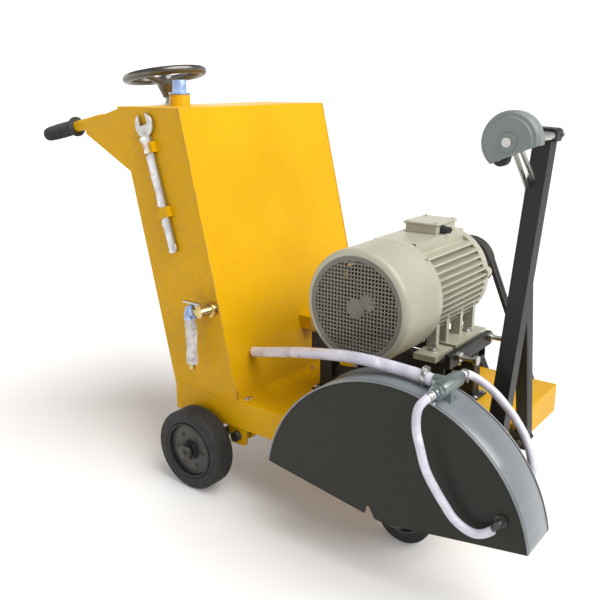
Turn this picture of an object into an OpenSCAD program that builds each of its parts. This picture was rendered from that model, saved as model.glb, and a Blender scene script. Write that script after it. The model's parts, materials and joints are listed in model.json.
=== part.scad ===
// Walk-behind concrete saw with electric motor, water tank, blade guard and guide frame.
// Millimetres, +X forward, +Y to the operator's left, +Z up, floor at z = 0.

/* [Chassis] */
// Length of the chassis tray
chassis_l = 804; // [790:1:820]
// Width of the chassis tray
chassis_w = 580; // [570:1:590]
// Height of the deck above the floor
deck_z = 244; // [240:1:248]
// Depth of the down-turned skirt
skirt_h = 74; // [66:1:78]

/* [Water tank] */
// Front-to-back depth of the tank
tank_d = 215; // [205:1:225]
// Height of the tank's top above the floor
tank_top = 938; // [925:1:945]
// Backward lean of the tank, degrees
tank_lean = 13.3; // [12.5:0.1:14]

/* [Handwheel] */
// Outside radius of the handwheel
wheel_r = 113; // [95:1:115]
// Backward lean of the lifting screw, degrees
screw_lean = 9; // [8.5:0.1:9.5]

/* [Motor] */
// Forward position of the motor axis
motor_x = 527; // [520:1:532]
// Height of the motor axis
motor_z = 527; // [525:1:530]
// Radius of the fan cover
fan_r = 131; // [126:1:131]

/* [Wheels] */
// Radius of the rear wheels
rear_r = 104; // [100:1:108]
// Width of the rear wheels
rear_w = 58; // [50:1:58]
// Radius of the front wheels
front_r = 68; // [66:1:69]

/* [Blade guard] */
// Radius of the guard's rim
guard_r = 302; // [295:1:306]
// Outside width of the guard
guard_w = 99; // [96:1:102]

/* [Guide frame] */
// Height of the near leg above its hinge pin
leg_l = 680; // [660:1:690]
// Radius of the guide roller's half-round cover
guide_r = 51; // [48:1:56]

/* [Hidden] */
$fn = 48;

// Paint and metal colours
paint = "gold";
black = [0.09, 0.09, 0.09];
steel = [0.62, 0.62, 0.60];
dark_steel = [0.25, 0.25, 0.24];
motor_grey = [0.74, 0.74, 0.66];
hose_white = [0.86, 0.86, 0.92];
brass = [0.78, 0.62, 0.30];
rubber = [0.12, 0.12, 0.12];

// Sheet thicknesses, and the gap of a running fit
tray_t = 4;
tank_t = 3;
fit = 0.05;

// The origin stands on the floor under the middle of the whole machine
origin_x = 258.3;
origin_y = 252.3;

// Chassis
skirt_z = deck_z - skirt_h;
beam_z = 190;

// Tank
function tank_back(z) = -(z - deck_z) * tan(tank_lean);
floor_z = deck_z + 8;

// Lifting screw: it stands behind the tank and leans back with it
screw_top_x = -187;
screw_y = 200;
screw_r = 8;
screw_bottom_z = 68;
upper_bracket_z = 905;
lower_bracket_z = 212;
function screw_x(z) = screw_top_x + (tank_top - z) * tan(screw_lean);

// Filler neck
neck_x = -53;
neck_y = 110;
neck_r = 26;
neck_h = 28;

// Swing frame pivot, axles and spindle
pivot_x = 208;
pivot_z = 147;
pivot_r = 12.5;
rear_x = 107;
rear_axle_r = 12.5;
front_x = 658;
front_axle_r = 10;
spindle_x = 700;
spindle_z = 150;
spindle_r = 17.5;
nut_z = 100;
nut_x = screw_x(nut_z);
lever_slope = atan2(pivot_z - nut_z, pivot_x - nut_x);

// Motor stations along Y
grille_y = 38;
cover_end_y = 192;
bell_y = 440;
bell_end_y = 466;
grille_r = 117;
pulley_y = 582;
shaft_r = 19;
foot_z = 395;
foot_x = 108;
foot_y = [202, 380];
rail_z = 345;

// Belts
belt_r_motor = 61;
belt_r_spindle = 52;
belt_t = 10;
belt_w = 12;
belt_y = [586, 602];

// Guard
guard_x = 699;
guard_z = 140;
guard_out_y = -108;
guard_rise = 9;
plate_t = 4;
guard_in_y = guard_out_y + guard_w - plate_t;
nozzle_x = 942;
nozzle_z = 238;
tee_x = 800;
tee_y = -60;
tee_z = 451;

// Guide frame, leaning forward from its hinge pin
hinge_x = 830;
hinge_z = 213;
guide_lean = 3.2;
near_foot_y = 109;
near_top_y = 157;
far_foot_y = 285;
far_top_h = 430;
leg_t = 35;
leg_foot = 16;
function near_leg_y(h) =
    near_foot_y + (near_top_y - near_foot_y) * (h + leg_foot) / (leg_l + leg_foot);
axle_x = 16;
axle_h = leg_l + 11;
cover_y = -66;
cover_w = 32;
roller_x = -14;
roller_z = -29;

// Tap on the right side of the tank
tap_x = 145;
tap_z = 467;

// Main hose route: from the tee back over the guard to its free cut end
hose_r = 12.5;
hose_route = [[770, -60, 452], [740, -60, 456], [700, -60, 458], [650, -59, 459], [600, -55, 457],
    [545, -44, 448], [490, -26, 434], [435, -4, 418], [380, 20, 401], [325, 42, 383],
    [270, 60, 366], [232, 72, 354], [203, 81, 346]];

// Branch hoses: each runs from one end of the tee to a spray nozzle
branch_r = 8.5;
near_route = [[800, -120, 451], [799, -124, 450], [795, -136, 446], [787, -148, 434],
    [785, -151, 416], [785, -151, 398], [787, -150, 379], [791, -147, 361], [795, -145, 343],
    [799, -143, 325], [805, -141, 307], [813, -139, 291], [822, -136, 275], [832, -134, 259],
    [843, -132, 244], [854, -131, 229], [868, -129, 217], [885, -127, 208], [903, -126, 205],
    [920, -124, 212], [933, -122, 223]];
far_route = [[800, -2, 451], [800, 4, 451], [800, 16, 450], [807, 31, 442], [822, 38, 433],
    [838, 41, 423], [853, 42, 413], [868, 41, 401], [882, 40, 389], [896, 38, 376], [909, 35, 362],
    [921, 32, 348], [931, 28, 333], [939, 25, 316], [945, 21, 299], [948, 16, 281],
    [947, 12, 266], [945, 9, 255]];

// Wrench stowed on the right side of the tank
wrench_x = 22;
wrench_z = 604;
wrench_lean = 15.4;
wrench_l = 303;
clip_z = [689, 842];

// ---- shared shapes ----

module place() {
    translate([-origin_x, -origin_y, 0]) children();
}

module rod_y(x, z, y0, y1, r) {
    translate([x, y0, z]) rotate([-90, 0, 0]) cylinder(r = r, h = y1 - y0);
}

module ring_y(x, z, y0, y1, r_out, r_in) {
    difference() {
        rod_y(x, z, y0, y1, r_out);
        rod_y(x, z, y0 - 1, y1 + 1, r_in);
    }
}

module rod_x(y, z, x0, x1, r) {
    translate([x0, y, z]) rotate([0, 90, 0]) cylinder(r = r, h = x1 - x0);
}

// A flat outline drawn in X and Z, made into a plate from y0 to y0 + t
module plate_xz(y0, t) {
    translate([0, y0 + t, 0]) rotate([90, 0, 0]) linear_extrude(t) children();
}

// The same across X: an outline drawn in Y and Z
module plate_yz(x0, t) {
    translate([x0, 0, 0]) rotate([90, 0, 90]) linear_extrude(t) children();
}

module box(x0, x1, y0, y1, z0, z1) {
    translate([x0, y0, z0]) cube([x1 - x0, y1 - y0, z1 - z0]);
}

// Hexagon head with a washer, standing along +Z
module bolt_head(r = 8, h = 7) {
    cylinder(r = r * 1.35, h = 2);
    translate([0, 0, 2]) cylinder(r = r, h = h, $fn = 6);
}

// Anything drawn about +Z, moved onto the leaning screw axis at the tank's top
module on_screw() {
    translate([screw_top_x, screw_y, tank_top]) rotate([0, -screw_lean, 0]) children();
}

// Anything drawn about +Z, moved onto the guide frame's hinge line
module on_guide() {
    translate([hinge_x, 0, hinge_z]) rotate([0, guide_lean, 0]) children();
}

// Round tube swept along a route
function unit(v) = v / norm(v);
function heading(route, i) =
    i == 0 ? unit(route[1] - route[0]) :
    i == len(route) - 1 ? unit(route[i] - route[i - 1]) :
    unit(route[i + 1] - route[i - 1]);
function twist_free(route, i, a) =
    let (d = heading(route, i)) unit(a - (a * d) * d);
function frames(route) =
    [for (i = 0, a = twist_free(route, 0, [0, 0, 1]); i < len(route);
        i = i + 1, a = i < len(route) ? twist_free(route, i, a) : a) a];
module hose(route, r, n = 12) {
    side = frames(route);
    points = [for (i = [0 : len(route) - 1]) let (d = heading(route, i), a = side[i], b = cross(d, a))
        for (k = [0 : n - 1]) route[i] + r * (cos(360 * k / n) * a + sin(360 * k / n) * b)];
    last = (len(route) - 1) * n;
    faces = concat(
        [[for (k = [0 : n - 1]) n - 1 - k]],
        [[for (k = [0 : n - 1]) last + k]],
        [for (i = [0 : len(route) - 2]) for (k = [0 : n - 1])
            let (p = i * n + k, q = i * n + (k + 1) % n) each [[p, q, q + n], [p, q + n, p + n]]]);
    polyhedron(points, [for (f = faces) [for (k = [len(f) - 1 : -1 : 0]) f[k]]]);
}

// ---- chassis ----

module chassis_tray() color(paint) place() difference() {
    box(0, chassis_l, 0, chassis_w, skirt_z, deck_z);
    box(tray_t, chassis_l - tray_t, tray_t, chassis_w - tray_t, skirt_z - 1, deck_z - tray_t);
    box(-1, tray_t + 1, screw_y - 36, screw_y + 36, skirt_z - 1, skirt_z + 39);
}

// Two beams under the deck; the rear one carries the pivot, the front one the spindle
module cross_members() color(paint) place() {
    for (x = [pivot_x, spindle_x])
        difference() {
            box(x - 35, x + 35, tray_t, chassis_w - tray_t, beam_z, deck_z - tray_t);
            box(x - 31, x + 31, 0, chassis_w, beam_z + 4, deck_z);
        }
}

// ---- water tank ----

module tank_side_outline() {
    polygon([[tank_back(deck_z), deck_z], [tank_d, deck_z],
        [tank_d + tank_back(tank_top), tank_top], [tank_back(tank_top), tank_top]]);
}

// A leaning wall of the tank between its two side sheets
module tank_wall(x) {
    plate_xz(tank_t, chassis_w - 2 * tank_t)
        polygon([[x, deck_z], [x + tank_t, deck_z],
            [x + tank_t + tank_back(tank_top), tank_top], [x + tank_back(tank_top), tank_top]]);
}

module tank_walls() color(paint) place() {
    tank_wall(tank_d - tank_t);
    tank_wall(0);
}

module tank_sides() color(paint) place() {
    plate_xz(0, tank_t) tank_side_outline();
    plate_xz(chassis_w - tank_t, tank_t) tank_side_outline();
}

// A level sheet that closes the tank between its four walls
module tank_level_sheet(z) {
    plate_xz(tank_t, chassis_w - 2 * tank_t)
        polygon([[tank_t + tank_back(z), z], [tank_d - tank_t + tank_back(z), z],
            [tank_d - tank_t + tank_back(z + tank_t), z + tank_t],
            [tank_t + tank_back(z + tank_t), z + tank_t]]);
}

module tank_ends() color(paint) place() difference() {
    union() {
        tank_level_sheet(tank_top - tank_t);
        tank_level_sheet(floor_z - tank_t);
        translate([neck_x, neck_y, tank_top - tank_t]) cylinder(r = neck_r, h = neck_h + tank_t);
    }
    translate([neck_x, neck_y, tank_top - 20]) cylinder(r = neck_r - 3, h = neck_h + 40);
}

// Two bored brackets that hold the screw: one on the tank's back, one on the rear skirt
module screw_brackets() color(paint) place() difference() {
    union() {
        plate_xz(screw_y - 26, 52) polygon([[tank_back(upper_bracket_z), upper_bracket_z],
            [tank_back(upper_bracket_z + 22), upper_bracket_z + 22],
            [screw_x(upper_bracket_z) - 22, upper_bracket_z + 22],
            [screw_x(upper_bracket_z) - 22, upper_bracket_z]]);
        box(screw_x(lower_bracket_z) - 22, 0, screw_y - 26, screw_y + 26,
            lower_bracket_z, lower_bracket_z + 22);
    }
    on_screw() translate([0, 0, -tank_top]) cylinder(r = screw_r + fit, h = 2 * tank_top);
}

// Sloping box ledge on the tank's front that sheds splashes off the fan end
ledge_y = [296, 558];
ledge_z = [386, 467];
ledge_reach = 40;
module ledge_end(i) {
    y = ledge_y[i];
    z = ledge_z[i];
    front = tank_d + tank_back(z);
    translate([front, y, z]) rotate([90, 0, 0])
        linear_extrude(0.5) polygon([[-20, 0], [ledge_reach, 0], [ledge_reach, -35], [-20, -35]]);
}
module splash_ledge() color(paint) place() difference() {
    hull() {
        ledge_end(0);
        ledge_end(1);
    }
    plate_xz(0, chassis_w) polygon([[-300, deck_z], [tank_d, deck_z],
        [tank_d + tank_back(tank_top), tank_top], [-300, tank_top]]);
}

// ---- handles ----

handle_tip = [-293, 896];
handle_end = [-470, 857];
handle_r = 14;
handle_slope = 11.5;
module handle_frame(y_plate, y_bar) {
    plate_xz(y_plate, tray_t) polygon([[tank_back(932), 932], [handle_tip[0], handle_tip[1]],
        [handle_tip[0], handle_tip[1] - 30], [tank_back(780), 780]]);
    translate([handle_end[0], y_bar, handle_end[1]]) rotate([0, 90 - handle_slope, 0])
        cylinder(r = handle_r, h = 236);
}
module handle_frames() color(paint) place() {
    handle_frame(0, 15);
    handle_frame(chassis_w - tray_t, chassis_w - 15);
}

// Ribbed rubber sleeve with a flange at its inner end
module hand_grip(y_bar) {
    translate([handle_end[0], y_bar, handle_end[1]]) rotate([0, 90 - handle_slope, 0]) {
        difference() {
            union() {
                translate([0, 0, -6]) cylinder(r = 18, h = 130);
                for (k = [0 : 7]) translate([0, 0, 6 + 14 * k]) cylinder(r = 19.5, h = 6);
                translate([0, 0, 120]) cylinder(r = 26, h = 8);
            }
            cylinder(r = handle_r, h = 140);
        }
    }
}
module hand_grips() color(black) place() {
    hand_grip(15);
    hand_grip(chassis_w - 15);
}

// ---- wrench and its clips ----

// Straps bent over the wrench; each has a flat ear on both sides
module wrench_clips() color(paint) place() {
    for (z = clip_z) {
        x = wrench_x - (z - wrench_z) * tan(wrench_lean);
        translate([x, 0, z]) rotate([0, -wrench_lean, 0]) difference() {
            union() {
                translate([-18, -16, -13]) cube([36, 16, 26]);
                translate([-27, -2, -13]) cube([54, 2, 26]);
            }
            translate([-15, -14, -14]) cube([30, 15, 28]);
        }
    }
}

module wrench() color(steel) place()
    translate([wrench_x, -11, wrench_z]) rotate([0, -wrench_lean, 0]) {
        plate_xz(0, 8) difference() {
            union() {
                translate([-10, 0]) square([20, wrench_l - 20]);
                circle(r = 13);
                translate([0, wrench_l]) circle(r = 30);
            }
            circle(r = 7, $fn = 6);
            translate([-13, wrench_l]) square([26, 40]);
        }
    }

// ---- water tap ----

module tap_body() color(brass) place() {
    rod_y(tap_x, tap_z, -16, 0, 17);
    rod_y(tap_x, tap_z, -52, -16, 12);
    rod_x(-40, tap_z, tap_x - 40, tap_x, 10);
    translate([tap_x - 40, -40, tap_z - 126]) cylinder(r = 9.5, h = 126);
    translate([tap_x - 40, -40, tap_z]) sphere(r = 10);
    translate([tap_x - 40, -40, tap_z - 151]) cylinder(r = 8, h = 25);
    translate([tap_x - 14, -40, tap_z + 4]) cylinder(r = 7, h = 12);
}

module tap_lever() color(steel) place() translate([tap_x - 14, -40, tap_z + 16.3]) {
    cylinder(r = 7.5, h = 5);
    translate([-44, -6, 1]) cube([40, 12, 4]);
}

// ---- motor stand ----

// Four posts on base plates, with a tie between each pair
module motor_stand() color(black) place() {
    for (y = foot_y) {
        for (x = [350, 650]) {
            box(x - 18, x + 18, y - 18, y + 18, deck_z + 6, rail_z);
            box(x - 34, x + 34, y - 30, y + 30, deck_z, deck_z + 6);
        }
        box(368, 632, y - 5, y + 5, deck_z + 40, deck_z + 70);
    }
}

// Two channels that the motor's feet slide along, joined by a front bar
module slide_rails() color(black) place() difference() {
    union() {
        for (y = foot_y) difference() {
            box(310, 676, y - 24, y + 24, rail_z, foot_z);
            box(300, 680, y - 18, y + 18, rail_z + 6, foot_z - 6);
            for (x = [motor_x - foot_x, motor_x + foot_x])
                translate([x - 20, y - 5.5, foot_z - 7]) cube([40, 11, 10]);
        }
        box(676, 690, foot_y[0] - 24, foot_y[1] + 24, foot_z - 15, foot_z + 18);
    }
    for (y = tension_y) rod_x(y, foot_z + 7, 670, 700, 6);
}

// Bolts that push the motor back to tighten the belts
tension_y = [215, 389];
module tension_bolts() color(steel) place() for (y = tension_y) {
    rod_x(y, foot_z + 7, 666, 730, 6);
    translate([730, y, foot_z + 7]) rotate([0, 90, 0]) cylinder(r = 12, h = 10, $fn = 6);
    translate([690, y, foot_z + 7]) rotate([0, 90, 0]) cylinder(r = 12, h = 9, $fn = 6);
}

// ---- motor ----

fin_gap = 15;
core_r = 110;
fin_r = 125;
module motor_frame() color(motor_grey) place() difference() {
    union() {
        rod_y(motor_x, motor_z, cover_end_y, bell_y, core_r);
        intersection() {
            rod_y(motor_x, motor_z, cover_end_y, bell_y, fin_r);
            for (k = [-6 : 6])
                box(motor_x - 130, motor_x + 130, cover_end_y, bell_y,
                    motor_z + k * fin_gap - 2, motor_z + k * fin_gap + 2);
        }
        box(motor_x - 55, motor_x + 55, cover_end_y + 6, bell_y, motor_z + 60, motor_z + 122);
        for (s = [-1, 1]) {
            for (y = [[160, 246], [262, 430]])
                box(motor_x + s * foot_x - 28, motor_x + s * foot_x + 28, y[0], y[1],
                    foot_z, foot_z + 14);
            box(motor_x + s * 95 - 12, motor_x + s * 95 + 12, cover_end_y + 24, cover_end_y + 40,
                foot_z, motor_z - 50);
            for (y = [268, 340, 410])
                box(motor_x + s * 95 - 12, motor_x + s * 95 + 12, y, y + 14, foot_z, motor_z - 50);
        }
    }
    rod_y(motor_x, motor_z, cover_end_y + 8, 460, 96);
    rod_y(motor_x, motor_z, 100, 460, shaft_r + 2);
    for (x = [motor_x - foot_x, motor_x + foot_x], y = foot_y)
        translate([x, y, foot_z - 1]) cylinder(r = 5.5, h = 40);
}

module drive_end_bell() color(motor_grey) place() difference() {
    union() {
        rod_y(motor_x, motor_z, bell_y, bell_end_y, 118);
        rod_y(motor_x, motor_z, bell_end_y, bell_end_y + 12, 50);
        for (a = [8 : 90 : 350]) translate([motor_x, bell_y, motor_z]) rotate([0, -a, 0])
            translate([114, 12, 0]) rotate([90, 0, 0]) cylinder(r = 14, h = 24, center = true);
    }
    rod_y(motor_x, motor_z, bell_y - 1, bell_end_y - 4, 36);
    rod_y(motor_x, motor_z, bell_y, bell_end_y + 20, shaft_r + 2);
}

// Turned shell: straight barrel, rounded shoulder and a turned-in lip round the grille
module fan_cover() color(motor_grey) place() translate([motor_x, grille_y, motor_z])
    rotate([-90, 0, 0]) rotate_extrude() difference() {
        union() {
            translate([0, 14]) square([fan_r, cover_end_y - grille_y - 14]);
            translate([fan_r - 14, 14]) circle(r = 14);
            square([fan_r - 14, 20]);
        }
        translate([0, 14]) square([fan_r - 2.5, 300]);
        translate([fan_r - 14, 14]) circle(r = 11.5);
        translate([0, -1]) square([grille_r, 30]);
        translate([-300, -50]) square([300, 500]);
    }

grille_pitch = 17;
module fan_grille() color(dark_steel) place() difference() {
    union() {
        rod_y(motor_x, motor_z, grille_y, grille_y + 2.5, grille_r);
        rod_y(motor_x, motor_z, grille_y - 3, grille_y, 22);
    }
    for (i = [-6 : 6], j = [-6 : 6])
        if (norm([i, j]) * grille_pitch < 104 && norm([i, j]) > 1.9)
            box(motor_x + i * grille_pitch - 5, motor_x + i * grille_pitch + 5, grille_y - 1,
                grille_y + 5, motor_z + j * grille_pitch - 5, motor_z + j * grille_pitch + 5);
}

box_y = [320, 420];
module terminal_box() color(motor_grey) place() {
    box(motor_x - 42, motor_x + 42, box_y[0], box_y[1], motor_z + 122, motor_z + 142);
    box(motor_x - 46, motor_x + 46, box_y[0] - 4, box_y[1] + 4, motor_z + 142, motor_z + 148);
}

module cable_gland() color(black) place() translate([motor_x + 42, 345, motor_z + 132])
    rotate([0, 90, 0]) difference() {
        union() {
            cylinder(r = 9.5, h = 12, $fn = 6);
            cylinder(r = 8, h = 24);
        }
        translate([0, 0, 2]) cylinder(r = 5.5, h = 40);
    }

module stator_core() color(dark_steel) place() ring_y(motor_x, motor_z, 262, 408, 96, 68);

// Motor bearings, spindle bearings and the screw's collar bearing on the tank
module ball_bearings() color(steel) place() {
    ring_y(motor_x, motor_z, bell_y + 4, bell_end_y - 4, 36, shaft_r + fit);
    ring_y(motor_x, motor_z, cover_end_y + 8, cover_end_y + 22, 96, shaft_r + fit);
    for (y = [108, 456]) ring_y(spindle_x, spindle_z, y, y + 20, 26, spindle_r + fit);
    difference() {
        on_screw() translate([0, 0, -12]) cylinder(r = 20, h = 17);
        box(-300, 0, 0, chassis_w, 800, upper_bracket_z + 22);
        on_screw() translate([0, 0, -50]) cylinder(r = screw_r + fit, h = 100);
    }
}

module rotor_shaft() color(steel) place() {
    rod_y(motor_x, motor_z, 92, 624, shaft_r);
    rod_y(motor_x, motor_z, 266, 404, 66);
}

module cooling_fan() color(black) place() {
    ring_y(motor_x, motor_z, 100, 140, 30, shaft_r);
    for (a = [0 : 45 : 315]) translate([motor_x, 0, motor_z]) rotate([0, a, 0])
        box(28, 98, 104, 138, -2, 2);
    ring_y(motor_x, motor_z, 138, 142, 98, 28);
}

// ---- belt drive ----

module pulley(x, z, r, bore) {
    difference() {
        rod_y(x, z, pulley_y, pulley_y + 36, r);
        rod_y(x, z, pulley_y - 1, pulley_y + 60, bore);
        for (y = belt_y) ring_y(x, z, y - 1, y + belt_w + 1, r + 5, r - belt_t);
    }
}

module motor_pulley() color(dark_steel) place()
    pulley(motor_x, motor_z, belt_r_motor + belt_t - 0.5, shaft_r);

module spindle_pulley() color(dark_steel) place()
    pulley(spindle_x, spindle_z, belt_r_spindle + belt_t - 0.5, spindle_r);

module belt_outline(extra) hull() {
    translate([motor_x, motor_z]) circle(r = belt_r_motor + extra);
    translate([spindle_x, spindle_z]) circle(r = belt_r_spindle + extra);
}

module v_belts() color(rubber) place() for (y = belt_y)
    plate_xz(y, belt_w) difference() {
        belt_outline(belt_t);
        belt_outline(0);
    }

// ---- spindle ----

module spindle_shaft() color(steel) place() {
    rod_y(spindle_x, spindle_z, -52, 626, spindle_r);
    rod_y(spindle_x, spindle_z, -92, -52, 12.7);
}

module bearing_blocks() color(dark_steel) place() for (y = [104, 452]) difference() {
    union() {
        rod_y(spindle_x, spindle_z, y, y + 28, 34);
        box(spindle_x - 50, spindle_x + 50, y, y + 28, beam_z - 12, beam_z);
        box(spindle_x - 30, spindle_x + 30, y, y + 28, spindle_z, beam_z);
    }
    rod_y(spindle_x, spindle_z, y + 4, y + 24, 26);
    rod_y(spindle_x, spindle_z, y - 1, y + 30, 19);
}

// Inner flange, outer flange and the arbor nut that clamp the blade
module blade_flanges() color(dark_steel) place() {
    ring_y(spindle_x, spindle_z, -58, -52, 38, 12.7);
    ring_y(spindle_x, spindle_z, -70, -62, 38, 12.7);
    difference() {
        translate([spindle_x, -70, spindle_z]) rotate([90, 0, 0]) cylinder(r = 23, h = 14, $fn = 6);
        rod_y(spindle_x, spindle_z, -90, -60, 12.7);
    }
}

// ---- axles, pivot and swing frame ----

// Hanger plates for the rear axle and the pivot shaft, and the straps that hold the guard
module support_brackets() color(paint) place() {
    for (y = [20, 550]) difference() {
        plate_xz(y, 10) polygon([[70, deck_z - tray_t], [150, deck_z - tray_t], [132, 88], [82, 88]]);
        rod_y(rear_x, rear_r, 0, chassis_w, rear_axle_r);
    }
    for (y = [6, 564]) difference() {
        plate_xz(y, 10) polygon([[pivot_x - 35, beam_z], [pivot_x + 35, beam_z],
            [pivot_x + 22, 124], [pivot_x - 22, 124]]);
        rod_y(pivot_x, pivot_z, 0, chassis_w, pivot_r);
    }
    inner_face = guard_in_y + plate_t;
    for (x = [470, 640]) {
        box(x, x + 40, inner_face, inner_face + 5, deck_z, deck_z + 20);
        box(x, x + 40, inner_face, 34, deck_z, deck_z + 5);
        box(x, x + 40, inner_face, 0, skirt_z + 20, deck_z);
    }
}

// Two pairs of lugs on the front skirt that carry the guide frame's hinge pins
module hinge_lugs() color(black) place()
    for (y = [near_foot_y - 30, near_foot_y + 22, far_foot_y - 27, far_foot_y + 17]) difference() {
        plate_xz(y, 10) polygon([[chassis_l, skirt_z + 4], [hinge_x + 6, hinge_z - 16],
            [hinge_x + 16, hinge_z], [hinge_x + 6, hinge_z + 16], [chassis_l, deck_z - 6]]);
        rod_y(hinge_x, hinge_z, 0, chassis_w, 8);
    }

// Rear axle with its end collars, pivot shaft, and the two hinge pins of the guide frame
module fixed_shafts() color(steel) place() {
    rod_y(rear_x, rear_r, -84, chassis_w + 84, rear_axle_r);
    for (y = [-84, chassis_w + 74]) rod_y(rear_x, rear_r, y, y + 10, 19);
    for (y = [-10, chassis_w]) rod_y(rear_x, rear_r, y, y + 10, 19);
    rod_y(pivot_x, pivot_z, -6, chassis_w + 6, pivot_r);
    rod_y(hinge_x, hinge_z, near_foot_y - 36, near_foot_y + 36, 8);
    rod_y(hinge_x, hinge_z, far_foot_y - 33, far_foot_y + 33, 8);
}

// Pivot tube, two long arms to the front axle, and the fork that the screw nut moves
fork_y = [screw_y - 30, screw_y + 22];
arm_y = [140, 430];
module swing_frame() color(paint) place() difference() {
    union() {
        rod_y(pivot_x, pivot_z, 40, 540, 21);
        for (y = arm_y) plate_xz(y, 10)
            polygon([[pivot_x - 14, pivot_z + 15], [front_x, front_r + 24], [front_x + 20, front_r],
                [front_x, front_r - 24], [pivot_x, pivot_z - 20]]);
        for (y = fork_y) translate([pivot_x, y, pivot_z]) rotate([0, -lever_slope, 0]) {
            box(-248, 0, 0, 8, -10, 10);
            box(-298, -246, 0, 8, -16, 16);
        }
        rod_y(front_x, front_r, 36, chassis_w - 36, front_axle_r);
        for (y = [36, chassis_w - 42]) rod_y(front_x, front_r, y, y + 6, 17);
        for (y = [88, chassis_w - 96]) rod_y(front_x, front_r, y, y + 8, 17);
    }
    rod_y(pivot_x, pivot_z, 0, chassis_w, pivot_r + fit);
    translate([pivot_x, 0, pivot_z]) rotate([0, -lever_slope, 0])
        box(-289, -256, 0, chassis_w, -9.4, 9.4);
}

// Nut on the lifting screw, with a trunnion pin to each side
module screw_nut() color(dark_steel) place() translate([nut_x, screw_y, nut_z])
    rotate([0, -screw_lean, 0]) difference() {
        union() {
            translate([-18, -19, -14]) cube([36, 38, 28]);
            rotate([90, 0, 0]) cylinder(r = 8, h = 64, center = true);
        }
        translate([0, 0, -30]) cylinder(r = screw_r + fit, h = 60);
    }

module lift_screw() color(steel) place() on_screw() {
    translate([0, 0, -(tank_top - screw_bottom_z) / cos(screw_lean)])
        cylinder(r = screw_r, h = (tank_top - screw_bottom_z) / cos(screw_lean) + 82);
    translate([0, 0, 82]) cylinder(r = 11, h = 8, $fn = 6);
}

// Three-spoke dished handwheel
rim_h = 76;
rim_t = 11;
module hand_wheel() color(dark_steel) place() on_screw() difference() {
    union() {
        translate([0, 0, 18]) cylinder(r1 = 12, r2 = 24, h = 34);
        translate([0, 0, 50]) cylinder(r = 24, h = 22);
        translate([0, 0, rim_h]) rotate_extrude() translate([wheel_r - rim_t, 0]) circle(r = rim_t);
        for (a = [40 : 120 : 280]) rotate([0, 0, a]) translate([12, 0, rim_h - 20])
            rotate([0, 90 - atan2(20, wheel_r - rim_t - 12), 0])
                cylinder(r = 7, h = norm([20, wheel_r - rim_t - 12]));
    }
    cylinder(r = screw_r, h = 200);
}

// ---- wheels ----

module front_wheel(y) {
    difference() {
        union() {
            ring_y(front_x, front_r, y, y + 40, front_r, 44);
            rod_y(front_x, front_r, y + 8, y + 32, 44);
            rod_y(front_x, front_r, y - 1, y + 41, 18);
        }
        rod_y(front_x, front_r, y - 5, y + 50, front_axle_r + fit);
    }
}
module front_wheel_right() color(rubber) place() front_wheel(45);
module front_wheel_left() color(rubber) place() front_wheel(chassis_w - 85);

rear_right_y = -70;
rear_left_y = chassis_w + 70 - rear_w;
module rear_tyre(y) {
    translate([rear_x, y, rear_r]) rotate([-90, 0, 0]) rotate_extrude() difference() {
        translate([72, 0]) square([rear_r - 72, rear_w]);
        for (v = [0, rear_w]) translate([rear_r, v]) rotate(45) square(9, center = true);
    }
}
module rear_tyre_right() color(rubber) place() rear_tyre(rear_right_y);
module rear_tyre_left() color(rubber) place() rear_tyre(rear_left_y);

// Pressed disc with a rolled edge, a hub boss and bolt heads on its outer side
module rear_hub(y, side) {
    difference() {
        union() {
            ring_y(rear_x, rear_r, y, y + rear_w, 72, 66);
            rod_y(rear_x, rear_r, y + rear_w / 2 - 4, y + rear_w / 2 + 4, 66);
            rod_y(rear_x, rear_r, y + 1, y + rear_w - 1, 24);
            for (a = [0 : 60 : 300]) translate([rear_x, y + rear_w / 2, rear_r])
                rotate([0, a, 0]) translate([42, side * 8, 0]) rotate([90, 0, 0])
                    cylinder(r = 6, h = 8, center = true, $fn = 6);
        }
        rod_y(rear_x, rear_r, y - 5, y + rear_w + 5, rear_axle_r + fit);
    }
}
module rear_hub_right() color(black) place() rear_hub(rear_right_y, -1);
module rear_hub_left() color(black) place() rear_hub(rear_left_y, 1);

// ---- blade guard ----

// Round outline cut along two lower edges that rise outward from the middle
module guard_outline(r) {
    reach = guard_r + 10;
    drop = reach * tan(guard_rise);
    difference() {
        translate([guard_x, guard_z]) circle(r = r, $fn = 96);
        translate([guard_x, guard_z]) polygon([[0, 0], [reach, drop], [reach, -reach],
            [-reach, -reach], [-reach, drop]]);
        translate([guard_x + 297, 0]) square([50, 700]);
    }
}

module guard_outer() color(dark_steel) place() plate_xz(guard_out_y, plate_t) difference() {
    guard_outline(guard_r);
    polygon([[651, 140], [657, 166], [664, 166], [680, 140]]);
    translate([nozzle_x, nozzle_z]) circle(r = 7);
}

module guard_inner() color(dark_steel) place() plate_xz(guard_in_y, plate_t) difference() {
    guard_outline(guard_r);
    translate([spindle_x, spindle_z]) circle(r = 26);
    translate([spindle_x - 26, spindle_z - 60]) square([52, 60]);
    translate([nozzle_x, nozzle_z]) circle(r = 7);
}

module guard_rim() color(steel) place()
    plate_xz(guard_out_y + plate_t, guard_w - 2 * plate_t) difference() {
        guard_outline(guard_r);
        translate([guard_x, guard_z]) circle(r = guard_r - 3, $fn = 96);
    }

// ---- water feed ----

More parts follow.
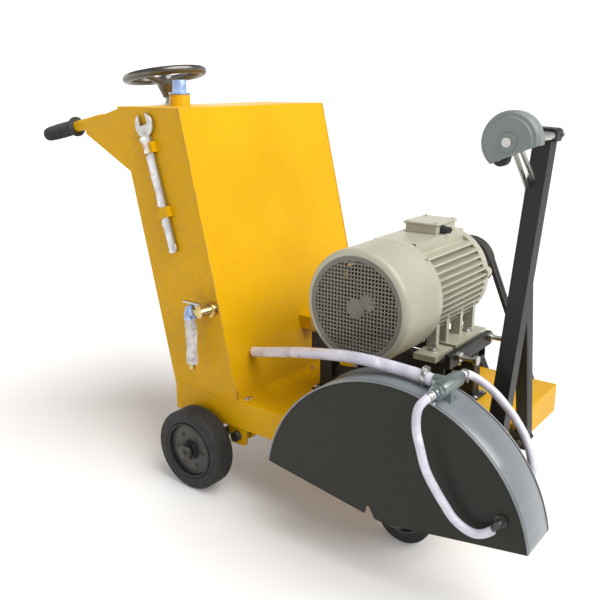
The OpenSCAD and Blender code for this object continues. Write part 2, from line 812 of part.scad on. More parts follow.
module spray_nozzles() color(steel) place() {
    rod_y(nozzle_x, nozzle_z, guard_out_y - 20, guard_out_y + 14, 7);
    rod_y(nozzle_x, nozzle_z, guard_out_y - 4, guard_out_y, 12);
    rod_y(nozzle_x, nozzle_z, guard_in_y - 10, guard_in_y + plate_t + 17, 7);
    rod_y(nozzle_x, nozzle_z, guard_in_y + plate_t, guard_in_y + plate_t + 4, 12);
    bar([nozzle_x, guard_out_y - 13, nozzle_z], [nozzle_x - 7, guard_out_y - 13, nozzle_z - 11], 6);
    bar([nozzle_x, guard_in_y + plate_t + 12, nozzle_z],
        [nozzle_x + 3, guard_in_y + plate_t + 17, nozzle_z + 14], 6);
}

module hose_tee() color([0.55, 0.58, 0.60]) place() {
    rod_y(tee_x, tee_z, tee_y - 38, tee_y + 38, 16);
    rod_x(tee_y, tee_z, tee_x - 28, tee_x, 15);
    translate([tee_x, tee_y - 38, tee_z]) rotate([90, 0, 0]) cylinder(r = 15, h = 12, $fn = 6);
    rod_y(tee_x, tee_z, tee_y - 58, tee_y - 50, 9);
    rod_y(tee_x, tee_z, tee_y + 38, tee_y + 56, 11);
    intersection() {
        box(tee_x - 14, tee_x + 14, tee_y - 12, tee_y + 12, tee_z - 60, tee_z);
        difference() {
            box(tee_x - 14, tee_x + 14, tee_y - 12, tee_y + 12, tee_z - 60, tee_z);
            rod_y(guard_x, guard_z, tee_y - 20, tee_y + 20, guard_r, $fn = 96);
        }
    }
}

// Worm-drive band clips where the hoses push on
module hose_clips() color(steel) place() {
    translate([752, tee_y, tee_z + 3.5]) rotate([0, 97, 0]) difference() {
        union() {
            cylinder(r = hose_r + 3, h = 10, center = true);
            translate([-hose_r - 9, -6, -6]) cube([8, 12, 12]);
        }
        cylinder(r = hose_r + 1, h = 30, center = true);
    }
}

module main_hose() color(hose_white) place() hose(hose_route, hose_r);

module branch_hoses() color(hose_white) place() {
    hose(near_route, branch_r, 10);
    hose(far_route, branch_r, 10);
}

// ---- guide frame ----

module near_leg_post()
    plate_yz(-leg_t / 2, leg_t) polygon([[near_foot_y - leg_t / 2, -leg_foot],
        [near_foot_y + leg_t / 2, -leg_foot], [near_top_y + leg_t / 2, leg_l],
        [near_top_y - leg_t / 2, leg_l]]);

module guide_near_leg() color(black) place() on_guide() difference() {
    union() {
        near_leg_post();
        translate([-16, near_top_y - 16, leg_l]) cube([42, 30, 20]);
        translate([-22, near_top_y - 24, leg_l + 20]) cube([44, 38, 4]);
    }
    translate([0, near_foot_y - 30, 0]) rotate([-90, 0, 0]) cylinder(r = 8 + fit, h = 60);
    translate([axle_x, near_top_y - 30, axle_h]) rotate([-90, 0, 0]) cylinder(r = 8, h = 60);
}

// Brace that leans in from its own hinge to the near leg
module guide_far_leg() color(black) place() on_guide() difference() {
    plate_yz(-13, 26) polygon([[far_foot_y - 15, 26], [far_foot_y - 15, -20],
        [far_foot_y + 15, -20], [far_foot_y + 15, 26],
        [near_leg_y(far_top_h) + leg_t / 2, far_top_h],
        [near_leg_y(far_top_h - 85) + leg_t / 2, far_top_h - 85]]);
    translate([0, far_foot_y - 30, 0]) rotate([-90, 0, 0]) cylinder(r = 8 + fit, h = 60);
}

// A round bar from one point to another
module bar(p, q, r) {
    d = q - p;
    translate(p) rotate([0, acos(d[2] / norm(d)), atan2(d[1], d[0])]) cylinder(r = r, h = norm(d));
}

// Cross axle at the tip of the near leg, two stay bars and the roller's pin
module guide_axle() color(steel) place() on_guide() difference() {
    union() {
        translate([axle_x, cover_y - 6, axle_h]) rotate([-90, 0, 0])
            cylinder(r = 8, h = near_top_y + 30 - cover_y);
        translate([axle_x, near_top_y + 14, axle_h]) rotate([-90, 0, 0])
            cylinder(r = 13, h = 9, $fn = 6);
        difference() {
            union() {
                bar([-15, near_leg_y(590) - 12, 588], [15, cover_y + cover_w + 4, 675], 4.5);
                bar([-4, near_leg_y(590) - 12, 602], [24, cover_y + cover_w + 4, 684], 4.5);
            }
            near_leg_post();
        }
        translate([axle_x, cover_y + cover_w, axle_h]) rotate([-90, 0, 0]) cylinder(r = 21, h = 6);
        translate([axle_x + roller_x, cover_y + 3, axle_h + roller_z]) rotate([-90, 0, 0])
            cylinder(r = 4, h = cover_w + 3);
        plate_xz(cover_y + cover_w, 6) hull() {
            translate([axle_x, axle_h]) circle(r = 12);
            translate([axle_x + roller_x, axle_h + roller_z]) circle(r = 8);
        }
    }
}

// Half-round cover with a bevelled near face, cut along a line that rises forward
module guide_cover() color([0.42, 0.46, 0.45]) place() on_guide()
    translate([axle_x, cover_y, axle_h]) difference() {
        union() {
            rotate([-90, 0, 0]) rotate_extrude() difference() {
                square([guide_r, cover_w]);
                translate([8, 3]) square([guide_r - 11, cover_w]);
                translate([guide_r, 0]) rotate(45) square(16, center = true);
                translate([-1, -1]) square([9, 60]);
            }
            rotate([-90, 0, 0]) rotate_extrude() translate([guide_r - 14, 3]) square([11, 6]);
            translate([0, -4, 0]) rotate([-90, 0, 0]) difference() {
                cylinder(r = 15, h = 8);
                cylinder(r = 8, h = 20, center = true);
            }
        }
        rotate([0, -26, 0]) translate([-100, -10, -123]) cube([200, 60, 100]);
    }

module guide_wheel() color(black) place() on_guide()
    translate([axle_x + roller_x, cover_y + 10, axle_h + roller_z]) rotate([-90, 0, 0])
        difference() {
            cylinder(r = 13.5, h = 18);
            translate([0, 0, -1]) cylinder(r = 4 + fit, h = 30);
        }

// ---- filler cap and fasteners ----

module filler_cap() color([0.2, 0.4, 0.75]) place() translate([neck_x, neck_y, tank_top + neck_h]) {
    translate([0, 0, 0.3]) cylinder(r = neck_r + 1, h = 5);
    translate([0, 0, 5.3]) cylinder(r = 18, h = 30);
    translate([0, 0, -14]) cylinder(r = neck_r - 4, h = 14.3);
}

module frame_bolts() color(steel) place() {
    for (x = [motor_x - foot_x, motor_x + foot_x], y = foot_y) translate([x, y, foot_z + 14]) {
        bolt_head(9, 8);
        translate([0, 0, -26]) cylinder(r = 5, h = 26);
    }
    for (x = [490, 660]) translate([x, 22, deck_z + 5]) bolt_head(6, 5);
    for (y = [30, 290, 550]) translate([232, y, deck_z]) bolt_head(5, 4);
}

chassis_tray();
cross_members();
tank_walls();
tank_sides();
tank_ends();
screw_brackets();
splash_ledge();
handle_frames();
hand_grips();
wrench_clips();
tap_body();
motor_stand();
slide_rails();
tension_bolts();
motor_frame();
drive_end_bell();
fan_cover();
fan_grille();
terminal_box();
cable_gland();
stator_core();
ball_bearings();
v_belts();
bearing_blocks();
support_brackets();
fixed_shafts();
guard_outer();
guard_inner();
guard_rim();
hinge_lugs();
spray_nozzles();
hose_tee();
hose_clips();
main_hose();
branch_hoses();
frame_bolts();
swing_frame();
front_wheel_right();
front_wheel_left();
rear_tyre_right();
rear_tyre_left();
rear_hub_right();
rear_hub_left();
hand_wheel();
lift_screw();
screw_nut();
spindle_shaft();
spindle_pulley();
blade_flanges();
rotor_shaft();
cooling_fan();
motor_pulley();
guide_near_leg();
guide_far_leg();
guide_axle();
guide_cover();
guide_wheel();
tap_lever();
filler_cap();
wrench();
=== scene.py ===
import json
import math
import random

import bmesh
import bpy
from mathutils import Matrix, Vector, noise


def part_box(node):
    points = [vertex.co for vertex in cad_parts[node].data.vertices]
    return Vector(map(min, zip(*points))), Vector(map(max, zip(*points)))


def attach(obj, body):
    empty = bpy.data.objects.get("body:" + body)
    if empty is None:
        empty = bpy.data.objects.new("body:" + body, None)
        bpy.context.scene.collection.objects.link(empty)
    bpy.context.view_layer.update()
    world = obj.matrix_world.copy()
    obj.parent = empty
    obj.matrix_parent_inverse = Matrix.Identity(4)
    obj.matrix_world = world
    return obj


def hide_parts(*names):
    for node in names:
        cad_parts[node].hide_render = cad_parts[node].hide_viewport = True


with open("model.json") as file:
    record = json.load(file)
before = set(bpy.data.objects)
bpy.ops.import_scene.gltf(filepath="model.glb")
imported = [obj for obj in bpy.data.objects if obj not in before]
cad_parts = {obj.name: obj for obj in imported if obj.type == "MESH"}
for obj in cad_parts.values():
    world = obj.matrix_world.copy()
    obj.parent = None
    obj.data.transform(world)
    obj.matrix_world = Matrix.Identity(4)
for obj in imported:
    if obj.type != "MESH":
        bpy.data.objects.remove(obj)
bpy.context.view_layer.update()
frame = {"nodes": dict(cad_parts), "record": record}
random.seed(7)

MM = 0.001
FRAME = "frame"
# Sizes along the chassis are counted from its rear right corner, the frame's from the machine's middle
SHIFT = Vector((258.3, 252.3, 0.0))


def at(x, y, z):
    """A place given in millimetres from the chassis's rear right corner, in the row frame."""
    return (Vector((x, y, z)) - SHIFT) * MM


def place_camera():
    camera = bpy.data.objects.new("camera", bpy.data.cameras.new("camera"))
    bpy.context.scene.collection.objects.link(camera)
    camera.location = at(1384, -1296, 1000)
    camera.rotation_euler = (math.radians(90 - 16), 0, math.radians(37))
    camera.data.lens = 36 * 766 / 600
    camera.data.sensor_width = 36
    camera.data.clip_end = 50
    bpy.context.scene.camera = camera


# ---- meshes ----


def add_mesh(name, points, faces, material, body=FRAME, smooth=True):
    mesh = bpy.data.meshes.new(name)
    mesh.from_pydata([tuple(p) for p in points], [], faces)
    mesh.validate()
    work = bmesh.new()
    work.from_mesh(mesh)
    bmesh.ops.recalc_face_normals(work, faces=work.faces)
    work.to_mesh(mesh)
    work.free()
    mesh.polygons.foreach_set("use_smooth", [smooth] * len(mesh.polygons))
    obj = bpy.data.objects.new(name, mesh)
    bpy.context.scene.collection.objects.link(obj)
    mesh.materials.append(material)
    if smooth:
        mesh.set_sharp_from_angle(angle=math.radians(38))
    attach(obj, body)
    return obj


def frame_of(direction):
    """Two unit vectors square to a direction."""
    d = Vector(direction).normalized()
    side = d.cross(Vector((0, 0, 1)) if abs(d.z) < 0.9 else Vector((1, 0, 0))).normalized()
    return side, d.cross(side).normalized()


def lathe_points(profile, centre, axis, segments=64):
    """Points and faces of a closed profile of (radius, along) pairs turned round an axis."""
    a, b = frame_of(axis)
    d = Vector(axis).normalized()
    points = []
    for radius, along in profile:
        for k in range(segments):
            turn = 2 * math.pi * k / segments
            points.append(Vector(centre) + d * along + (a * math.cos(turn) + b * math.sin(turn)) * radius)
    faces = []
    count = len(profile)
    for i in range(count):
        j = (i + 1) % count
        for k in range(segments):
            n = (k + 1) % segments
            faces.append((i * segments + k, i * segments + n, j * segments + n, j * segments + k))
    return points, faces


def lathe(name, profile, centre, axis, material, body=FRAME, segments=64):
    points, faces = lathe_points(profile, centre, axis, segments)
    return add_mesh(name, points, faces, material, body)


def sweep_points(route, radius_at, sides=16, squeeze=1.0):
    """A tube along a list of points; radius_at(i) gives its radius at point i."""
    points, faces = [], []
    side = frame_of(route[1] - route[0])[0]
    for i, p in enumerate(route):
        heading = (route[min(i + 1, len(route) - 1)] - route[max(i - 1, 0)]).normalized()
        side = (side - heading * side.dot(heading)).normalized()
        other = heading.cross(side)
        for k in range(sides):
            turn = 2 * math.pi * k / sides
            points.append(p + (side * math.cos(turn) + other * math.sin(turn) * squeeze) * radius_at(i))
    for i in range(len(route) - 1):
        for k in range(sides):
            n = (k + 1) % sides
            faces.append((i * sides + k, i * sides + n, (i + 1) * sides + n, (i + 1) * sides + k))
    faces.append(tuple(reversed(range(sides))))
    faces.append(tuple(range((len(route) - 1) * sides, len(route) * sides)))
    return points, faces


def smooth_route(points, step=0.004):
    """A smooth curve through given points, with a point every few millimetres."""
    out = []
    count = len(points)
    for i in range(count - 1):
        p0 = points[max(i - 1, 0)]
        p1, p2 = points[i], points[i + 1]
        p3 = points[min(i + 2, count - 1)]
        pieces = max(2, int((p2 - p1).length / step))
        for k in range(pieces):
            t = k / pieces
            out.append(0.5 * ((2 * p1) + (p2 - p0) * t + (2 * p0 - 5 * p1 + 4 * p2 - p3) * t * t
                              + (3 * p1 - p0 - 3 * p2 + p3) * t ** 3))
    out.append(points[-1])
    for _ in range(12):
        out[1:-1] = [(out[i - 1] + out[i] * 2 + out[i + 1]) / 4 for i in range(1, len(out) - 1)]
    return out


def line_points(start, end, step):
    count = max(2, int((end - start).length / step))
    return [start.lerp(end, k / count) for k in range(count + 1)]


def weld_bead(name, start, end, radius, material, body=FRAME):
    """A rippled weld along a straight seam."""
    route = line_points(start, end, 0.002)
    seed = random.random() * 50

    def ripple(i):
        wobble = noise.noise(Vector((i * 0.21, seed, 0)))
        edge = min(i, len(route) - 1 - i)
        return radius * (0.86 + 0.16 * abs(math.sin(i * 1.05)) + 0.22 * wobble) * min(1.0, 0.4 + edge * 0.2)

    points, faces = sweep_points(route, ripple, 8)
    return add_mesh(name, points, faces, material, body)


def hexagon(centre, axis, radius, height, turn=0.0):
    """Points and faces of a chamfered hexagon head standing on its centre."""
    a, b = frame_of(axis)
    d = Vector(axis).normalized()
    points = []
    rings = ((radius, 0.0), (radius, height * 0.82), (radius * 0.86, height), (radius * 0.5, height * 1.01))
    for r, h in rings:
        for k in range(6):
            angle = turn + math.pi * k / 3
            points.append(Vector(centre) + d * h + (a * math.cos(angle) + b * math.sin(angle)) * r)
    faces = [(i * 6 + k, i * 6 + (k + 1) % 6, i * 6 + 6 + (k + 1) % 6, i * 6 + 6 + k)
             for i in range(3) for k in range(6)]
    faces += [tuple(range(6)), tuple(range(18, 24))]
    return points, faces


def bolts(name, spots, axis, radius, height, material, body=FRAME, washer=True):
    """A group of bolt heads with washers, as one piece."""
    points, faces = [], []
    for spot in spots:
        parts = [hexagon(spot, axis, radius, height, random.random())]
        if washer:
            disc = [(radius * 0.2, 0), (radius * 1.5, 0), (radius * 1.5, height * 0.16),
                    (radius * 1.42, height * 0.22), (radius * 0.2, height * 0.22)]
            parts.append(lathe_points(disc, spot, axis, 24))
        for more_points, more_faces in parts:
            start = len(points)
            points += more_points
            faces += [tuple(start + v for v in face) for face in more_faces]
    return add_mesh(name, points, faces, material, body)


# ---- materials ----


def new_material(name, color, roughness, metallic=0.0):
    material = bpy.data.materials.new(name)
    material.use_nodes = True
    shader = material.node_tree.nodes["Principled BSDF"]
    shader.inputs["Base Color"].default_value = (*color, 1)
    shader.inputs["Roughness"].default_value = roughness
    shader.inputs["Metallic"].default_value = metallic
    return material


def add_node(material, kind, **values):
    node = material.node_tree.nodes.new(kind)
    for key, value in values.items():
        if key in node.inputs:
            node.inputs[key].default_value = value
        else:
            setattr(node, key, value)
    return node


def join(material, out_node, out_name, in_node, in_name):
    material.node_tree.links.new(out_node.outputs[out_name], in_node.inputs[in_name])


def noise_at(material, scale, detail=4.0, roughness=0.55):
    coords = add_node(material, "ShaderNodeTexCoord")
    texture = add_node(material, "ShaderNodeTexNoise", Scale=scale, Detail=detail, Roughness=roughness)
    join(material, coords, "Object", texture, "Vector")
    return texture


def ramp(material, texture, stops, out="Fac"):
    """A colour ramp over a texture: stops are (place, colour or grey)."""
    node = add_node(material, "ShaderNodeValToRGB")
    elements = node.color_ramp.elements
    while len(elements) < len(stops):
        elements.new(0.5)
    for element, (where, value) in zip(elements, stops):
        element.position = where
        element.color = (value, value, value, 1) if isinstance(value, float) else (*value, 1)
    join(material, texture, out, node, "Fac")
    return node


def bump(material, texture, strength, distance, out="Fac", after=None):
    node = add_node(material, "ShaderNodeBump", Strength=strength, Distance=distance)
    join(material, texture, out, node, "Height")
    if after:
        join(material, after, "Normal", node, "Normal")
    return node


def finish_material(material, rough_from, normal_from):
    """Joins a roughness ramp and a bump to the shader."""
    shader = material.node_tree.nodes["Principled BSDF"]
    join(material, rough_from, "Color", shader, "Roughness")
    join(material, normal_from, "Normal", shader, "Normal")
    return material


def mixed(material, factor, first, second, blend="MIX"):
    """Mixes two colours or two nodes' colours by a node's colour output."""
    node = add_node(material, "ShaderNodeMix", data_type="RGBA", blend_type=blend)
    for index, value in ((6, first), (7, second)):
        if isinstance(value, tuple):
            node.inputs[index].default_value = (*value, 1)
        else:
            material.node_tree.links.new(value, node.inputs[index])
    material.node_tree.links.new(factor, node.inputs[0])
    return node.outputs[2]


def worn_paint(name, color, chip, roughness=0.32, grime=(0.10, 0.07, 0.03), wear=0.5, clear=0.25, gloss=0.5):
    """Sprayed paint: orange peel, faint dust, worn edges and a few chips."""
    material = new_material(name, color, roughness)
    shader = material.node_tree.nodes["Principled BSDF"]
    shader.inputs["Coat Weight"].default_value = clear
    shader.inputs["Coat Roughness"].default_value = 0.18
    shader.inputs["Specular IOR Level"].default_value = gloss
    broad = noise_at(material, 3.5, 6.0)
    fine = noise_at(material, 160.0, 3.0)
    specks = noise_at(material, 46.0, 8.0, 0.7)
    shade = ramp(material, broad, [(0.30, tuple(c * 0.86 for c in color)), (0.62, color)])
    dust = ramp(material, specks, [(0.60, 0.0), (0.78, 0.30 * wear)])
    dusty = mixed(material, dust.outputs["Color"], shade.outputs["Color"], grime)
    edges = add_node(material, "ShaderNodeNewGeometry")
    worn_edge = ramp(material, edges, [(0.56, 0.0), (0.66, wear)], "Pointiness")
    chips = ramp(material, specks, [(0.46, 0.0), (0.56, 1.0)])
    both = add_node(material, "ShaderNodeMath", operation="MULTIPLY")
    join(material, worn_edge, "Color", both, 0)
    join(material, chips, "Color", both, 1)
    final = mixed(material, both.outputs[0], dusty, chip)
    material.node_tree.links.new(final, shader.inputs["Base Color"])
    rough = ramp(material, broad, [(0.25, roughness - 0.06), (0.75, roughness + 0.14)])
    peel = bump(material, fine, 0.06, 0.0006)
    dents = bump(material, noise_at(material, 9.0, 2.0), 0.10, 0.002, after=peel)
    return finish_material(material, rough, dents)


def bare_metal(name, color, roughness=0.3, brushed=0.0, rust=None):
    """Machined or plated metal with scratches, smudges and a little rust."""
    material = new_material(name, color, roughness, 1.0)
    shader = material.node_tree.nodes["Principled BSDF"]
    broad = noise_at(material, 24.0, 6.0, 0.65)
    fine = noise_at(material, 220.0, 4.0)
    rough = ramp(material, broad, [(0.3, roughness - 0.08), (0.7, roughness + 0.2)])
    stops = [(0.35, color), (0.65, tuple(c * 0.72 for c in color))]
    if rust:
        stops.append((0.80, rust))
    shade = ramp(material, broad, stops)
    join(material, shade, "Color", shader, "Base Color")
    scratches = bump(material, fine, 0.12, 0.0004)
    if brushed:
        coords = add_node(material, "ShaderNodeTexCoord")
        stretch = add_node(material, "ShaderNodeMapping")
        stretch.inputs["Scale"].default_value = (6, 400, 6)
        lines = add_node(material, "ShaderNodeTexNoise", Scale=1.0, Detail=3.0)
        join(material, coords, "Object", stretch, "Vector")
        join(material, stretch, "Vector", lines, "Vector")
        scratches = bump(material, lines, brushed, 0.0006, after=scratches)
    return finish_material(material, rough, scratches)


def cast_surface(name, color, roughness=0.6, metallic=0.0, grain=0.35):
    """Rough cast or moulded surface with grain and grime."""
    material = new_material(name, color, roughness, metallic)
    shader = material.node_tree.nodes["Principled BSDF"]
    broad = noise_at(material, 7.0, 7.0, 0.6)
    grit = noise_at(material, 120.0, 5.0, 0.6)
    shade = ramp(material, broad, [(0.3, tuple(c * 0.72 for c in color)), (0.5, color),
                                   (0.78, tuple(min(1, c * 1.22 + 0.01) for c in color))])
    join(material, shade, "Color", shader, "Base Color")
    rough = ramp(material, grit, [(0.3, roughness - 0.1), (0.7, min(1.0, roughness + 0.16))])
    return finish_material(material, rough, bump(material, grit, grain, 0.0009))


def clear_tube(name, color):
    """Milky plastic hose with a woven thread under its skin."""
    material = new_material(name, color, 0.24)
    shader = material.node_tree.nodes["Principled BSDF"]
    shader.inputs["Coat Weight"].default_value = 0.4
    shader.inputs["Subsurface Weight"].default_value = 0.2
    shader.inputs["Subsurface Radius"].default_value = (0.01, 0.01, 0.012)
    weave = noise_at(material, 420.0, 2.0)
    cloudy = noise_at(material, 26.0, 5.0)
    shade = ramp(material, cloudy, [(0.32, tuple(c * 0.80 for c in color)), (0.60, color),
                                    (0.80, (0.93, 0.92, 0.97))])
    threads = ramp(material, weave, [(0.42, 0.0), (0.60, 0.35)])
    final = mixed(material, threads.outputs["Color"], shade.outputs["Color"], (0.60, 0.58, 0.72))
    material.node_tree.links.new(final, shader.inputs["Base Color"])
    rough = ramp(material, cloudy, [(0.3, 0.20), (0.7, 0.42)])
    return finish_material(material, rough, bump(material, weave, 0.18, 0.0008))


def crinkled_film(name, color, alpha=0.55):
    """Thin clear wrapping film with sharp creases; near-white patches in its colour are painted highlights.
    """
    material = new_material(name, color, 0.12)
    shader = material.node_tree.nodes["Principled BSDF"]
    shader.inputs["Alpha"].default_value = alpha
    shader.inputs["Coat Weight"].default_value = 0.6
    coords = add_node(material, "ShaderNodeTexCoord")
    creases = add_node(material, "ShaderNodeTexVoronoi", Scale=70.0)
    join(material, coords, "Object", creases, "Vector")
    soft = noise_at(material, 34.0, 5.0)
    # the ramp runs from a darker tint through the film's colour to near-white; the near-white patches are
    # painted highlights of the crinkles
    shade = ramp(material, soft, [(0.35, tuple(c * 0.7 for c in color)), (0.62, color),
                                  (0.74, (0.95, 0.96, 1.0))])
    join(material, shade, "Color", shader, "Base Color")
    rough = ramp(material, soft, [(0.3, 0.08), (0.7, 0.35)])
    folds = bump(material, creases, 0.7, 0.002, "Distance")
    return finish_material(material, rough, bump(material, soft, 0.5, 0.003, after=folds))


YELLOW = worn_paint("yellow_paint", (0.62, 0.335, 0.0005), (0.16, 0.13, 0.10), 0.36, clear=0.0, gloss=0.16)
BLACK = worn_paint("black_paint", (0.020, 0.021, 0.021), (0.20, 0.19, 0.18), 0.40,
                   grime=(0.07, 0.065, 0.05), wear=0.4, clear=0.0, gloss=0.25)
GUARD = worn_paint("guard_paint", (0.024, 0.024, 0.020), (0.15, 0.15, 0.14), 0.42,
                   grime=(0.050, 0.047, 0.038), wear=0.8, clear=0.0, gloss=0.22)
RIM = worn_paint("rim_paint", (0.17, 0.19, 0.21), (0.42, 0.43, 0.44), 0.30, (0.32, 0.34, 0.36), 0.8, 0.5)
MOTOR = worn_paint("motor_paint", (0.40, 0.395, 0.31), (0.26, 0.25, 0.20), 0.40, (0.16, 0.14, 0.09), 0.7)
COVER = worn_paint("cover_paint", (0.17, 0.20, 0.19), (0.34, 0.36, 0.35), 0.42, (0.08, 0.08, 0.08), 0.5)
GRILLE = worn_paint("grille_paint", (0.15, 0.135, 0.105), (0.24, 0.22, 0.19), 0.45, (0.05, 0.045, 0.03), 0.6)
STEEL = bare_metal("bright_steel", (0.62, 0.62, 0.60), 0.28, 0.05, (0.30, 0.22, 0.16))
BRUSHED = bare_metal("brushed_steel", (0.42, 0.43, 0.44), 0.34, 0.25)
BRASS = bare_metal("brass", (0.72, 0.55, 0.26), 0.26)
IRON = cast_surface("dark_iron", (0.075, 0.072, 0.068), 0.42, 0.7)
TEE_METAL = cast_surface("tee_metal", (0.24, 0.29, 0.29), 0.34, 0.8, 0.2)
WHEEL_IRON = cast_surface("handwheel_iron", (0.15, 0.14, 0.125), 0.30, 0.85, 0.25)
RUBBER = cast_surface("rubber", (0.018, 0.018, 0.018), 0.62)
TYRE = cast_surface("tyre_rubber", (0.013, 0.013, 0.013), 0.66, 0.0, 0.5)
PLASTIC = cast_surface("black_plastic", (0.022, 0.022, 0.024), 0.40, 0.0, 0.2)
HOSE = clear_tube("clear_hose", (0.60, 0.59, 0.68))
FILM = crinkled_film("wrapping_film", (0.80, 0.84, 0.93))
BLUE = crinkled_film("blue_film", (0.30, 0.44, 0.76), 0.95)

NODE_MATERIALS = {
    "yellow_paint": YELLOW, "black_paint": BLACK, "guard_grey": GUARD, "rim_grey": RIM,
    "motor_grey": MOTOR, "cover_grey": COVER, "bright_steel": STEEL, "dark_iron": IRON,
    "rubber": RUBBER, "tyre": TYRE, "brass": BRASS, "clear_hose": HOSE, "black_plastic": PLASTIC,
    "blue_cap": BLUE, "grille_dark": GRILLE,
}


def dress_cad_nodes():
    """Every CAD node takes its slot's material, and its sharp edges get a small round."""
    soft_edge = {"chassis_tray": 2.5, "tank_walls": 0.8, "tank_sides": 1.2, "hand_wheel": 0.8,
                 "guide_cover": 1.5,
                 "motor_frame": 1.4, "terminal_box": 2.5, "slide_rails": 1.5, "guide_near_leg": 2.0}
    darker = {"spray_nozzles": IRON, "hand_wheel": WHEEL_IRON, "fixed_shafts": IRON, "cooling_fan": PLASTIC,
              "hose_tee": TEE_METAL}
    for part in frame["record"]["subparts"]:
        obj = frame["nodes"][part["node"]]
        obj.data.materials.clear()
        material = darker.get(part["node"], NODE_MATERIALS[part["material_slot"]])
        obj.data.materials.append(material)
        weld = obj.modifiers.new("weld", "WELD")
        weld.merge_threshold = 0.00002
        bevel = obj.modifiers.new("bevel", "BEVEL")
        bevel.width = soft_edge.get(part["node"], 0.7) * MM
        bevel.segments = 2
        bevel.limit_method = "ANGLE"
        bevel.angle_limit = math.radians(40)
        bevel.harden_normals = True


# ---- hoses ----

MAIN_ROUTE = [(770, -60, 452), (740, -60, 456), (700, -60, 458), (650, -59, 459), (600, -55, 457),
              (545, -44, 448), (490, -26, 434), (435, -4, 418), (380, 20, 401), (325, 42, 383),
              (270, 60, 366), (232, 72, 354), (203, 81, 346)]
NEAR_ROUTE = [(800, -120, 451), (799, -124, 450), (795, -136, 446), (787, -148, 434), (785, -151, 416),
              (785, -151, 398), (787, -150, 379), (791, -147, 361), (795, -145, 343), (799, -143, 325),
              (805, -141, 307), (813, -139, 291), (822, -136, 275), (832, -134, 259), (843, -132, 244),
              (854, -131, 229), (868, -129, 217), (885, -127, 208), (903, -126, 205), (920, -124, 212),
              (933, -122, 223)]
FAR_ROUTE = [(800, -2, 451), (800, 4, 451), (800, 16, 450), (807, 31, 442), (822, 38, 433), (838, 41, 423),
             (853, 42, 413), (868, 41, 401), (882, 40, 389), (896, 38, 376), (909, 35, 362),
             (921, 32, 348), (931, 28, 333), (939, 25, 316), (945, 21, 299), (948, 16, 281),
             (947, 12, 266), (945, 9, 255)]
MAIN_RADIUS = 12.5 * MM
BRANCH_RADIUS = 8.5 * MM


def open_tube(route, radius, wall, bore_depth=0.03):
    """A hose whose far end is cut square and shows its bore."""
    sides = 24
    inner = [p for p in route if (route[-1] - p).length < bore_depth]
    points, faces = sweep_points(route, lambda i: radius, sides)
    del faces[-1]
    last_ring = (len(route) - 1) * sides
    start = len(points)
    bore = list(reversed(inner))
    bore_points, bore_faces = sweep_points(bore, lambda i: radius - wall, sides)
    outer_side = points[last_ring] - route[-1]
    del bore_faces[-2]
    points += bore_points
    faces += [tuple(start + v for v in face) for face in bore_faces]
    offset = min(range(sides), key=lambda k: (bore_points[k] - route[-1]).angle(outer_side))
    turn_back = (bore_points[(offset + 1) % sides] - bore[0]).angle(points[last_ring + 1] - route[-1])
    step = 1 if turn_back < math.radians(20) else -1
    for k in range(sides):
        n = (k + 1) % sides
        faces.append((last_ring + k, last_ring + n, start + (offset + step * n) % sides,
                      start + (offset + step * k) % sides))
    return points, faces


def make_hoses():
    route = smooth_route([at(*p) for p in MAIN_ROUTE])
    points, faces = open_tube(route, MAIN_RADIUS, 3.2 * MM)
    hose = add_mesh("main_hose_tube", points, faces, HOSE)
    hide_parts("main_hose")
    for name, way in (("near_branch_hose", NEAR_ROUTE), ("far_branch_hose", FAR_ROUTE)):
        route = smooth_route([at(*p) for p in way], 0.003)
        points, faces = sweep_points(route, lambda i: BRANCH_RADIUS, 20)
        tube = add_mesh(name, points, faces, HOSE)
        if name == "near_branch_hose":
            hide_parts("branch_hoses")


def hose_clamp(name, centre, axis, radius):
    """Worm-drive band: a plain strip and its screw."""
    half = 4.5 * MM
    band = [(radius, -half), (radius + 1.0 * MM, -half), (radius + 1.3 * MM, -half * 0.7),
            (radius + 1.3 * MM, half * 0.7), (radius + 1.0 * MM, half), (radius, half)]
    lathe(name + "_band", band, centre, axis, STEEL, segments=48)
    side, other = frame_of(axis)
    spot = Vector(centre) + other * (radius + 4 * MM)
    screw = [(0.2 * MM, -9 * MM), (2.6 * MM, -9 * MM), (2.6 * MM, 6 * MM), (3.6 * MM, 6 * MM),
             (3.6 * MM, 9.5 * MM), (0.2 * MM, 9.5 * MM)]
    lathe(name + "_screw", screw, spot, side, STEEL, segments=20)


# ---- wheels ----


def arc(cx, cy, radius, start, end, steps):
    """Profile points on an arc, in degrees."""
    return [(cx + radius * math.cos(math.radians(start + (end - start) * k / steps)),
             cy + radius * math.sin(math.radians(start + (end - start) * k / steps)))
            for k in range(steps + 1)]


def middle(node):
    low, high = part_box(node)
    return (low + high) / 2


def rear_tyre(name, node, body):
    low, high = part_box(node)
    centre = (low + high) / 2
    radius = (high.z - low.z) / 2
    half = (high.y - low.y) / 2
    shoulder = 9 * MM
    inner = 72 * MM
    profile = [(inner, -half * 0.86), (inner + 3 * MM, -half * 0.98), (radius * 0.80, -half)]
    profile += [(radius * 0.80 + 1.5 * MM, -half * 1.0), (radius * 0.82 + 1.5 * MM, -half * 0.97)]
    profile += arc(radius - shoulder, -half + shoulder, shoulder, -90, 0, 6)
    for groove in (-0.34, 0.0, 0.34):
        c = groove * half
        profile += [(radius, c - 2.4 * MM), (radius - 1.6 * MM, c - 1.2 * MM),
                    (radius - 1.6 * MM, c + 1.2 * MM), (radius, c + 2.4 * MM)]
    profile += arc(radius - shoulder, half - shoulder, shoulder, 0, 90, 6)
    profile += [(radius * 0.80, half), (inner + 3 * MM, half * 0.98), (inner, half * 0.86)]
    tyre = lathe(name, profile, centre, (0, 1, 0), TYRE, body, 96)
    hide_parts(node)


